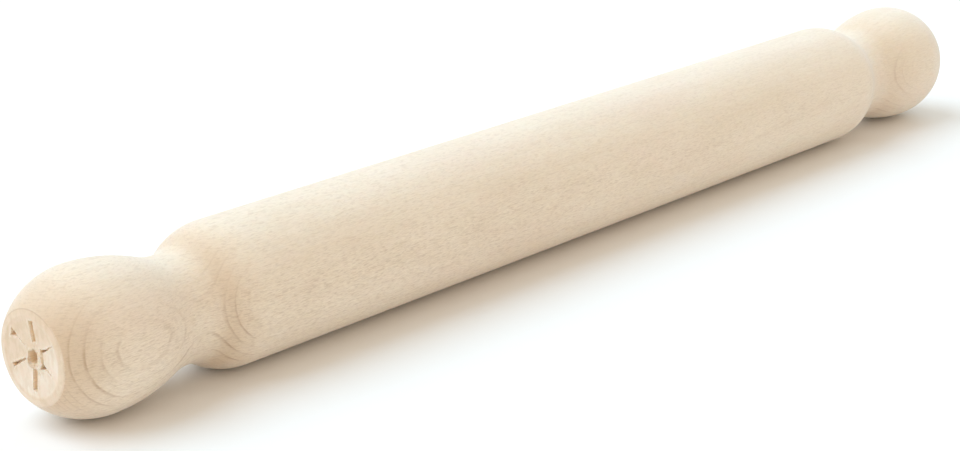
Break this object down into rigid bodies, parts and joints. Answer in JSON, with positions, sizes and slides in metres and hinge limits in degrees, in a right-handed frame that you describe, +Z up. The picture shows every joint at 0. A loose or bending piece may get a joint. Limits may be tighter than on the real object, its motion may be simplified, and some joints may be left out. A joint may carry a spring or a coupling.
{
  "type": "rolling pin",
  "caption": "Solid wooden rolling pin turned in one piece, with a straight barrel, rounded shoulders, hollow necks and bulb-shaped handles with flat ends.",
  "frame": {"origin": "on the surface that the pin lies on, midway along it, straight under its axis", "axes": "+X along the pin's axis, from the end with the drive mark to the end with the tail dimple; +Z up; +Y across the pin"},
  "size_m": [0.45, 0.045, 0.045],
  "materials": {
    "beech": "bare, fine-sanded beech with a soft sheen and no varnish"
  },
  "bodies": {
    "root": {"turned_pin": "beech"}
  },
  "joints": []
}
